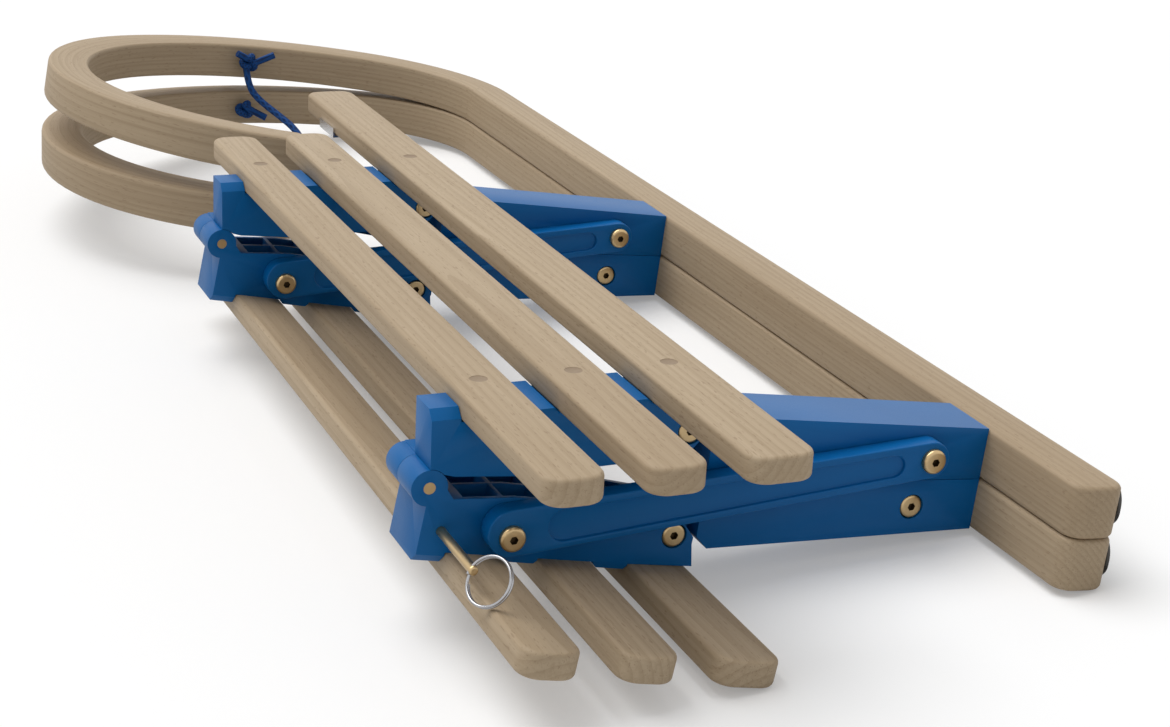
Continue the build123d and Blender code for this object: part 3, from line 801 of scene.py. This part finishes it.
def moulding(node, body, seat=None, ear_depth=0.0):
    piece = twin(nodes[node], f"{node}_moulding")
    pick(piece, "VERT", lambda vertex: True)
    bpy.ops.mesh.remove_doubles(threshold=NEAR)
    bpy.ops.mesh.dissolve_limited(angle_limit=math.radians(0.5))
    leave()
    if seat:
        trim_ear(piece, node, seat, ear_depth)
    soften(piece, MOULD_EDGE, 3, 32, "MITER_ARC")
    smooth(piece, 40)
    dress(piece, plastic, "blue_plastic", body, node)


for half in HALVES:
    for end in ENDS:
        moulding(f"seat_bracket_{half}_{end}", SEAT_BODY[half], seats[half], EAR_DEPTH[half])
        moulding(f"leg_{half}_{end}", LEG_BODY[half])
        moulding(f"arm_{half}_{end}", ARM_BODY[half])

# %% [markdown]
# Every joint has a button-head bolt with a hexagon socket. The dome could be a profile turned
# with a Screw modifier, but on so small a head a bevelled edge looks the same. So the head is a
# short rod whose top edge is bevelled about half as deep as the head is high, and the socket
# is a six-sided rod cut out of it. The faces inside the socket get a dark steel as painted shade.

# %% A bolt's head
HEAD_RADIUS = 7 * MM
HEAD_HEIGHT = 3.6 * MM
HEAD_DOME = 1.9 * MM
SOCKET_RADIUS = 2.4 * MM


def button_head():
    """Domed head: its outer face is at z = 0 and it reaches down to -HEAD_HEIGHT."""
    head = rod("head", HEAD_RADIUS, HEAD_HEIGHT, 48)
    head.data.transform(Matrix.Translation((0, 0, -HEAD_HEIGHT)))
    pick(head, "FACE", on_top)
    bevel(HEAD_DOME, 6)
    leave()
    socket = rod("socket", SOCKET_RADIUS, 4 * HEAD_HEIGHT, 6)
    socket.data.transform(Matrix.Translation((0, 0, -0.8 * HEAD_HEIGHT)))
    carve(head, socket)
    head.data.materials.append(gold_steel)
    # the second material paints the shade inside the socket
    head.data.materials.append(socket_shade)
    for face in head.data.polygons:
        narrow = math.hypot(face.center.x, face.center.y) < SOCKET_RADIUS
        inside = -0.9 * HEAD_HEIGHT < face.center.z < -0.05 * HEAD_HEIGHT
        face.material_index = 1 if narrow and inside else 0
    return head


head_master = button_head()
print("bolt head:", len(head_master.data.polygons), "faces")

# %% [markdown]
# The other end of most bolts is a hexagon nut with a collar. The nut is a six-sided rod whose
# top is inset and whose edges are bevelled a little, and the collar round the bolt's end is a
# second, shorter rod with a dished top. It stands flat on the nut, so the two could be united
# by a Boolean, but the seam between them is a real corner anyway and a plain join is enough.

# %% A nut with its collar
NUT_RADIUS = 6.9 * MM
NUT_RIM = 0.9 * MM
NUT_EDGE = 0.35 * MM
COLLAR_RADIUS = 4.6 * MM
COLLAR_HEIGHT = 1.1 * MM
COLLAR_RIM = 1.3 * MM
COLLAR_DISH = 0.7 * MM


def collar_nut():
    """Hexagon nut with a collar, its outer face at z = 0."""
    nut = rod("nut", NUT_RADIUS, HEAD_HEIGHT, 6)
    nut.data.transform(Matrix.Translation((0, 0, -HEAD_HEIGHT)))
    pick(nut, "FACE", on_top)
    bpy.ops.mesh.inset(thickness=NUT_RIM)
    leave()
    pick(nut, "EDGE", sharp)
    bevel(NUT_EDGE, 2)
    leave()
    collar = rod("collar", COLLAR_RADIUS, COLLAR_HEIGHT)
    pick(collar, "FACE", on_top)
    bpy.ops.mesh.inset(thickness=COLLAR_RIM)
    bpy.ops.transform.translate(value=(0, 0, -COLLAR_DISH))
    leave()
    nut = join("nut", [nut, collar])
    nut.data.materials.append(gold_steel)
    return nut


nut_master = collar_nut()
print("nut:", len(nut_master.data.polygons), "faces")

# %% [markdown]
# A bolt is then a head, a shank and a nut, joined along Z, turned along the sled and put where
# the frame has it. All of them point along the sled, some with the head to the rear and some to
# the front. At the far pivots of the arms the bolt is in two halves, which ride on different
# bodies: the head goes with the arm and the stud stays in the leg.

# %% Bolts
BOLT_RADIUS = 3 * MM


def bolt(node, head_low, first=head_master, second=nut_master):
    """Bolt along Y for a node: its first end is at the node's low or high end."""
    low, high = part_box(node)
    length = high.y - low.y
    shank = rod("shank", BOLT_RADIUS, length - 2 * HEAD_HEIGHT, 24)
    shank.data.transform(Matrix.Translation((0, 0, -length + HEAD_HEIGHT)))
    shank.data.materials.append(gold_steel)
    parts = [shank]
    if first:
        parts.append(twin(first, "part"))
    if second:
        far = twin(second, "part")
        far.data.transform(Matrix.Translation((0, 0, -length)) @ Matrix.Rotation(math.pi, 4, "X"))
        parts.append(far)
    piece = join(f"{node}_steel", parts)
    toward = Vector((0, -1, 0)) if head_low else Vector((0, 1, 0))
    turn = toward.to_track_quat("Z", "X").to_matrix().to_4x4()
    head_place = ((low.x + high.x) / 2, low.y if head_low else high.y, (low.z + high.z) / 2)
    piece.data.transform(Matrix.Translation(head_place) @ turn)
    smooth(piece)
    dress(piece, None, "gold_steel", body_of(nodes[node])[0], node)


for half in HALVES:
    for end in ENDS:
        bolt(f"hip_bolt_{half}_{end}", True)
        bolt(f"arm_bolt_{half}_{end}", half == "left")
        bolt(f"brace_head_{half}_{end}", half == "left", second=None)
        bolt(f"brace_stud_{half}_{end}", half == "left", first=None, second=head_master)
for master in (head_master, nut_master):
    bpy.data.objects.remove(master)

# %% [markdown]
# The hinge pins, the locking pin and the small plates keep their solids from the frame: a
# plain rod or a bent strip needs no more shape, so they only get their metal.

# %% Plain steel pieces
PLAIN_STEEL = {
    "hinge_pin_rear": gold_steel,
    "hinge_pin_front": gold_steel,
    "slat_plate_right": bright_steel,
    "slat_plate_left": bright_steel,
    "lock_pin": gold_steel,
}
for name, steel in PLAIN_STEEL.items():
    nodes[name].data.materials.clear()
    nodes[name].data.materials.append(steel)
print("plain pieces:", len(PLAIN_STEEL))

# %% [markdown]
# Under each runner lies a steel shoe, a strip screwed to the wood. Its rear end is bent a
# little way round the runner's end and narrows to a blunt tongue. A second strip laid on the
# end would leave a seam, so the strip itself goes on: it is copied from the frame into the
# sled's square coordinates, its end face is spun round the runner's rounding, and each step of
# the spin is drawn in more than the one before.

# %% Runner shoes
SHOE_THICK = 2 * MM
SHOE_WRAP = math.radians(40)
WRAP_STEPS = 10
TONGUE_TIP = 0.15
TONGUE_TAPER = 0.7
SHOE_SOFT = 0.3 * MM
SHOE_CLEAR = 20 * MM


def shoe(half):
    """Shoe of a half; gives the height of its face and its middle, square to the sled."""
    node = f"runner_shoe_{half}"
    piece = twin(nodes[node], f"steel_shoe_{half}")
    move_mesh(piece, sled.inverted())
    straight = [vertex.co.copy() for vertex in piece.data.vertices
                if vertex.co.y < HORN_START - SHOE_CLEAR]
    low, high = Vector(map(min, *straight)), Vector(map(max, *straight))
    middle = (low.z + high.z) / 2
    turn_x = high.x - SHOE_THICK - RUNNER_ROUND
    turn_y = span(f"runner_{half}", sled)[0].y + RUNNER_ROUND
    pick(piece, "VERT", lambda vertex: True)
    bpy.ops.mesh.remove_doubles(threshold=NEAR)
    pick(piece, "VERT", lambda vertex: vertex.co.y < low.y + 10 * NEAR)
    bpy.ops.transform.translate(value=(0, turn_y - low.y, 0))

    def at_turn(face):
        return abs(face.normal.y) > 0.99 and abs(face.calc_center_median().y - turn_y) < NEAR

    pick(piece, "FACE", at_turn)
    bpy.ops.mesh.spin(steps=WRAP_STEPS, angle=SHOE_WRAP, axis=(0, 0, 1), center=(turn_x, turn_y, 0))
    leave()
    pick(piece, "FACE", at_turn)
    bpy.ops.mesh.delete(type="ONLY_FACE")
    for step in range(1, WRAP_STEPS + 1):
        share = step / WRAP_STEPS
        pick(piece, "VERT", lambda vertex: abs(math.atan2(turn_y - vertex.co.y, vertex.co.x - turn_x)
                                               - share * SHOE_WRAP) < 0.01)
        bpy.ops.transform.resize(value=(1, 1, max(TONGUE_TIP, (1 - share) ** TONGUE_TAPER)),
                                 center_override=(0, 0, middle))
    bpy.ops.mesh.select_all(action="SELECT")
    bpy.ops.mesh.remove_doubles(threshold=NEAR)
    bpy.ops.mesh.normals_make_consistent(inside=False)
    leave()
    soften(piece, SHOE_SOFT, 2, 40)
    smooth(piece)
    move_mesh(piece, sled)
    dress(piece, dark_steel, "dark_steel", LEG_BODY[half], node)
    return high.x, middle


# %% [markdown]
# Each shoe is held by five screws. A screw is a shallow disc with a softened rim and a cross
# slot, which is cut with two small blocks. Each cross is turned by another angle, because
# nobody lines screws up. The screws' height and line come from the shoe, so each shoe is made
# just before its screws.

# %% Shoe screws
SCREW_STATIONS = (-62, 120, 330, 540, 740)
SCREW_RADIUS = 4.2 * MM
SCREW_HEIGHT = 1.2 * MM
SCREW_SUNK = 1.0 * MM
SCREW_EDGE = 0.4 * MM
CROSS_LOW = Vector((-2.2, -0.45, 0.6)) * MM
CROSS_HIGH = Vector((2.2, 0.45, 2)) * MM


def shoe_screws(half, face_x, middle):
    screws = []
    for station_mm in SCREW_STATIONS:
        screw = rod("screw", SCREW_RADIUS, SCREW_HEIGHT, 28)
        pick(screw, "FACE", on_top)
        bevel(SCREW_EDGE, 2)
        leave()
        for turn in (0, 90):
            slot_cut = block("slot", CROSS_LOW, CROSS_HIGH)
            slot_cut.data.transform(Matrix.Rotation(math.radians(turn + station_mm), 4, "Z"))
            carve(screw, slot_cut)
        screw.data.transform(Matrix.Translation((face_x - SCREW_SUNK, station_mm * MM, middle))
                             @ Matrix.Rotation(math.pi / 2, 4, "Y"))
        screws.append(screw)
    screws = join(f"shoe_screws_{half}", screws)
    smooth(screws)
    move_mesh(screws, sled)
    dress(screws, bright_steel, "dark_steel", LEG_BODY[half])


for half in HALVES:
    shoe_screws(half, *shoe(half))
print("shoes:", len(HALVES), "with", len(SCREW_STATIONS), "screws each")

# %% [markdown]
# The locking pin stays on its split ring. A split ring is a wire wound twice round itself: a
# small circle of wire, turned nearly two full turns by a Screw modifier that rises by one
# wire's thickness each turn. A torus would be simpler, but it has no split. The frame's ring
# gives the centre, the size and the way it lies.

# %% Split ring
WIRE = 0.78 * MM
RING_CLEAR = 0.3 * MM
RING_TURN = 700
RING_STEPS = 150
ring_points = [vertex.co.copy() for vertex in nodes["split_ring"].data.vertices]
ring_centre = sum(ring_points, Vector()) / len(ring_points)
ring_radius = max((point - ring_centre).length for point in ring_points) - WIRE - RING_CLEAR
far = max(ring_points, key=lambda point: (point - ring_centre).length) - ring_centre
side_way = max(ring_points, key=lambda point: (point - ring_centre).cross(far).length) - ring_centre
ring_axis = far.cross(side_way).normalized()
bpy.ops.mesh.primitive_circle_add(vertices=14, radius=WIRE, rotation=(math.pi / 2, 0, 0))
ring = bpy.context.object
ring.name = "wound_ring"
bpy.ops.object.transform_apply(location=True, rotation=True, scale=True)
ring.data.transform(Matrix.Translation((ring_radius, 0, -WIRE)))
winding = ring.modifiers.new("winding", "SCREW")
winding.angle = math.radians(RING_TURN)
winding.screw_offset = 2 * WIRE * RING_TURN / 360
winding.steps = RING_STEPS
winding.render_steps = RING_STEPS
only(ring)
bpy.ops.object.modifier_apply(modifier=winding.name)
pick(ring, "EDGE", lambda edge: len(edge.link_faces) == 1)
bpy.ops.mesh.edge_face_add()
bpy.ops.mesh.select_all(action="SELECT")
bpy.ops.mesh.normals_make_consistent(inside=False)
leave()
ring.data.transform(Matrix.Translation((0, 0, -WIRE)))
ring_turn = ring_axis.to_track_quat("Z", "Y").to_matrix().to_4x4()
ring.data.transform(Matrix.Translation(ring_centre) @ ring_turn)
smooth(ring, 60)
dress(ring, ring_steel, "bright_ring", "seat_left", "split_ring")
print("split ring:", round(2 * ring_radius / MM, 1), "mm across")

# %% [markdown]
# The tow cord is braided. Real strands would take very many faces on so thin a cord, so the
# braid is a bump: two sets of ridges that wind round the cord in opposite ways, and whichever
# is higher shows. They follow the curve's own surface coordinates, so that they run along the
# cord wherever it bends, and a fine fuzz breaks up the light. Where the ridges dip, the colour
# is painted darker, as painted shade in the grooves.

# %% Cord finish
# the darkest tone is painted shade for the grooves of the braid
CORD_SHADE = (0.001, 0.013, 0.062)
CORD_BLUE = (0.003, 0.055, 0.220)
CORD_FUZZ = (0.012, 0.08, 0.28)


def cord_finish(name, ridges_along):
    tree = Tree(name)
    uv = tree.add("TexCoord").outputs["UV"]
    along_cord, around = (tree.add("SeparateXYZ", {0: uv}).outputs[axis] for axis in ("X", "Y"))
    length = tree.math("MULTIPLY", along_cord, ridges_along)
    turns = tree.math("MULTIPLY", around, 4.0)
    ridges = [tree.math("SINE", tree.math("MULTIPLY", tree.math(way, length, turns), 2 * math.pi))
              for way in ("ADD", "SUBTRACT")]
    braid = tree.math("MAXIMUM", *ridges)
    # low parts of the braid are painted darker: painted shade in the grooves
    shade = tree.ramp(tree.math("MULTIPLY_ADD", braid, 0.5), (0.2, 0.0), (0.95, 1.0))
    fuzz = tree.noise(tree.object_place(), 2200, 2.0)
    colour = tree.mix(shade, CORD_SHADE, CORD_BLUE)
    tree.feed(tree.shader, "Base Color", tree.mix(tree.weaker(fuzz, 0.25), colour, CORD_FUZZ))
    tree.feed(tree.shader, "Roughness", 0.62)
    tree.shader.inputs["Specular IOR Level"].default_value = 0.2
    tree.bump(tree.math("ADD", braid, tree.weaker(fuzz, 0.4)), 0.0005, 0.6)
    return tree.material


# %% [markdown]
# Anything made of cord is a curve through a few control points, given the cord's thickness.
# That is easier than a mesh: the route can be changed by moving a point, and the curve makes
# its own surface coordinates. A NURBS curve doesn't overshoot at a tight bend as a Bezier curve
# may. The cord's length is measured along the same curve with no thickness.

# %% Curves as thick as the cord
CORD_RADIUS = 3 * MM


def cord_curve(name, points):
    """Smooth curve of the cord's thickness through control points in metres."""
    curve = bpy.data.curves.new(name, "CURVE")
    curve.dimensions = "3D"
    curve.bevel_depth = CORD_RADIUS
    curve.bevel_resolution = 5
    curve.use_fill_caps = True
    spline = curve.splines.new("NURBS")
    spline.points.add(len(points) - 1)
    for control, point in zip(spline.points, points):
        control.co = (*point, 1)
    spline.order_u = 3
    spline.use_endpoint_u = True
    spline.resolution_u = 6
    piece = bpy.data.objects.new(name, curve)
    bpy.context.scene.collection.objects.link(piece)
    return piece


def line_of(piece):
    """Points along a curve, read from it with no thickness."""
    bare = bpy.data.objects.new("line", piece.data.copy())
    bare.data.bevel_depth = 0
    mesh = bpy.data.meshes.new_from_object(bare)
    points = [vertex.co.copy() for vertex in mesh.vertices]
    bpy.data.objects.remove(bare)
    bpy.data.meshes.remove(mesh)
    return points


# %% [markdown]
# The cord comes out of its knot behind the upper horn, hangs to the floor and ends in a neat
# coil inside the curl of the horns. The points of its hanging part are listed one by one, as the
# cord would fall. The turns of the coil come from a loop: three turns on the floor from the
# outside in, then three on top of them back out. Towards the end of a turn the cord shifts to
# the next radius, and at the end of the third it climbs to the second layer.

# %% Tow cord
CORD_ROUTE = (
    (-2.0, 510.0, 79.0), (-3.0, 502.0, 63.0), (6.0, 492.0, 51.0), (17.0, 477.0, 41.5),
    (26.5, 457.0, 32.5), (30.0, 437.0, 20.0), (28.5, 417.0, 8.5), (25.0, 394.0, 3.2),
    (21.5, 368.0, 3.1), (19.3, 341.0, 3.1), (19.2, 316.0, 3.1),
)
COIL_CENTRE = Vector((-20.0, 313.0)) * MM
COIL_RADII = (39.2, 33.0, 26.8)
COIL_PITCH = 6.2 * MM
COIL_SHIFT = 0.4
POINTS_PER_TURN = 16
FLOOR_GAP = 0.1 * MM
BRAID_PITCH = 6 * MM


def coil_points():
    """Turns on the floor from the outside in, then a second layer back out."""
    points = []
    radii = list(COIL_RADII) + list(reversed(COIL_RADII))
    for index in range(1, len(radii) * POINTS_PER_TURN + 1):
        turn = index / POINTS_PER_TURN
        place = min(turn, len(radii) - 1)
        step, part = int(place), place - int(place)
        outer = radii[step]
        inner = radii[min(step + 1, len(radii) - 1)]
        ease = max(0.0, (part - (1 - COIL_SHIFT)) / COIL_SHIFT)
        radius = (outer + (inner - outer) * ease) * MM
        climb = min(max((turn - (len(COIL_RADII) - COIL_SHIFT)) / COIL_SHIFT, 0.0), 1.0)
        angle = -2 * math.pi * turn
        points.append(Vector((COIL_CENTRE.x + radius * math.cos(angle),
                              COIL_CENTRE.y + radius * math.sin(angle),
                              CORD_RADIUS + FLOOR_GAP + climb * COIL_PITCH)))
    return points


route = [Vector(point) * MM for point in CORD_ROUTE] + coil_points()
cord = cord_curve("braided_cord", route)
line = line_of(cord)
cord_length = sum((after - before).length for before, after in zip(line, line[1:]))
print("cord length", round(cord_length, 3))
cord.data.materials.append(cord_finish("blue cord", cord_length / BRAID_PITCH))
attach(cord, "leg_right")
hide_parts("tow_cord", "tow_cord_coil")

# %% [markdown]
# A knot in a stiff cord is a tight three-lobed ball with two short ends. It could be sculpted
# as a lump, but the crossings are what makes it read as a knot. So its line is the well-known
# trefoil, opened at one point, and the ends go off to the sides. The same cord runs through
# the horn's hole to a second knot outside. Each end is a given step away from its knot: the
# upper outer one hangs down behind the horns.

# %% Knots
KNOT_SCALE = 2.05 * MM
KNOT_STEPS = 26
KNOT_OPENING = math.radians(40)
KNOT_BULGE = 1.25
# half of the horn's thickness, a little clearance and half a knot
KNOT_REACH = (16 + 0.3 + 7.5) * MM
# for each half, the ends of the inner and of the outer knot
KNOT_ENDS = {
    "right": ((Vector((-10, -2, 7)) * MM, Vector((24, -6, 9)) * MM),
              (Vector((-2, 3, -24)) * MM, Vector((-7, 3, 6)) * MM)),
    "left": ((Vector((18, -5, -11)) * MM, Vector((-4, -2, 7)) * MM),
             (Vector((6, 4, -7)) * MM, Vector((-7, 3, 6)) * MM)),
}
KNOT_RIDGES = 26
knot_finish = cord_finish("knotted cord", KNOT_RIDGES)


def knot_points(centre, turn, ends):
    """Open trefoil round a centre, with an end leaving at each side."""
    points = []
    for index in range(KNOT_STEPS + 1):
        angle = KNOT_OPENING / 2 + (2 * math.pi - KNOT_OPENING) * index / KNOT_STEPS
        lobe = Vector((math.sin(angle) + 2 * math.sin(2 * angle),
                       math.cos(angle) - 2 * math.cos(2 * angle),
                       -KNOT_BULGE * math.sin(3 * angle)))
        points.append(centre + turn @ (lobe * KNOT_SCALE))
    return [points[0] + ends[0]] + points + [points[-1] + ends[1]]


def to_mesh(curve):
    only(curve)
    bpy.ops.object.convert(target="MESH")


def tied_knot(half):
    """Two knots and the cord between them through the horn's hole."""
    hole = mounts[f"tow_hole_{half}"]
    way = Vector(hole["axis"]).normalized()
    if way.y < 0:
        way = -way
    centre = Vector(hole["pos_m"])
    turn = way.to_track_quat("Z", "X").to_matrix()
    inner, outer = centre - way * KNOT_REACH, centre + way * KNOT_REACH
    inner_ends, outer_ends = KNOT_ENDS[half]
    parts = [cord_curve("inner", knot_points(inner, turn, inner_ends)),
             cord_curve("outer", knot_points(outer, turn, outer_ends)),
             cord_curve("through", [inner, centre, outer])]
    for part in parts:
        to_mesh(part)
    knot = join(f"tied_knot_{half}", parts)
    smooth(knot, 60)
    dress(knot, knot_finish, "blue_cord", LEG_BODY[half], f"knot_{half}")
    return knot


knots = {half: tied_knot(half) for half in HALVES}
print("knots:", sorted(knot.name for knot in knots.values()))

# %% [markdown]
# A braided cord frays where it is cut, so its free end is tied in a stopper knot of its own,
# the same trefoil at the end of the coil's line.

# %% The knot at the cord's end
STOPPER_BACK = 8
STOPPER_LEAD = 8 * MM
STOPPER_END = Vector((5, -6, 3)) * MM

tip = line[-1]
back_along = (line[-STOPPER_BACK] - tip).normalized()
stopper = cord_curve("end_knot", knot_points(tip, back_along.to_track_quat("Z", "X").to_matrix(),
                                             (back_along * STOPPER_LEAD, STOPPER_END)))
to_mesh(stopper)
smooth(stopper, 60)
dress(stopper, knot_finish, "blue_cord", "leg_right")
print("the cord ends", [round(value / MM) for value in tip], "mm from the origin")

# %% [markdown]
# The sled lies on a plain white floor. A pure white one would hide the shadow that shows where
# the sled touches it, so the floor is a little darker than white, and it gives off a little
# light of its own that only the camera sees.

# %% Floor
FLOOR_TONE = 0.73
FLOOR_LIFT = 0.26

bpy.ops.mesh.primitive_plane_add(size=20)
floor = bpy.context.object
floor.name = "floor"
tree = Tree("floor")
tree.shader.inputs["Base Color"].default_value = (FLOOR_TONE, FLOOR_TONE, FLOOR_TONE, 1)
tree.shader.inputs["Roughness"].default_value = 0.9
tree.shader.inputs["Specular IOR Level"].default_value = 0.0
tree.shader.inputs["Emission Color"].default_value = (1, 1, 1, 1)
seen = tree.add("LightPath").outputs["Is Camera Ray"]
tree.feed(tree.shader, "Emission Strength", tree.math("MULTIPLY", seen, FLOOR_LIFT))
floor.data.materials.append(tree.material)
print("floor:", floor.dimensions.x, "m wide")

# %% [markdown]
# The light is even, from a white world and one broad sun above, at a level that keeps colours
# as they are written. The world shows at full white to the camera, in reflections and through
# glass, and lights the sled at less than that. So the background's strength is 1 for such rays
# and WORLD_STRENGTH for the rest, and the kinds of ray are joined by their maximum.

# %% World and sun
WORLD_STRENGTH = 0.45
SUN_STRENGTH = 2.0
SUN_WIDTH = 0.9
SUN_TILT = (-0.3, -0.25, 0)

world = bpy.data.worlds.new("studio")
bpy.context.scene.world = world
world.use_nodes = True
sky = world.node_tree
background = sky.nodes["Background"]
background.inputs["Color"].default_value = (1, 1, 1, 1)
path = sky.nodes.new("ShaderNodeLightPath")
seen = path.outputs["Is Camera Ray"]
for ray in ("Is Glossy Ray", "Is Transmission Ray"):
    either = sky.nodes.new("ShaderNodeMath")
    either.operation = "MAXIMUM"
    sky.links.new(seen, either.inputs[0])
    sky.links.new(path.outputs[ray], either.inputs[1])
    seen = either.outputs[0]
strength = sky.nodes.new("ShaderNodeMath")
strength.operation = "MULTIPLY_ADD"
strength.inputs[1].default_value = 1 - WORLD_STRENGTH
strength.inputs[2].default_value = WORLD_STRENGTH
sky.links.new(seen, strength.inputs[0])
sky.links.new(strength.outputs[0], background.inputs["Strength"])

bpy.ops.object.light_add(type="SUN", rotation=SUN_TILT)
sun = bpy.context.object
sun.data.energy = SUN_STRENGTH
sun.data.angle = SUN_WIDTH
bpy.context.scene.view_settings.view_transform = "Standard"
print("light: world", WORLD_STRENGTH, "and sun", SUN_STRENGTH)
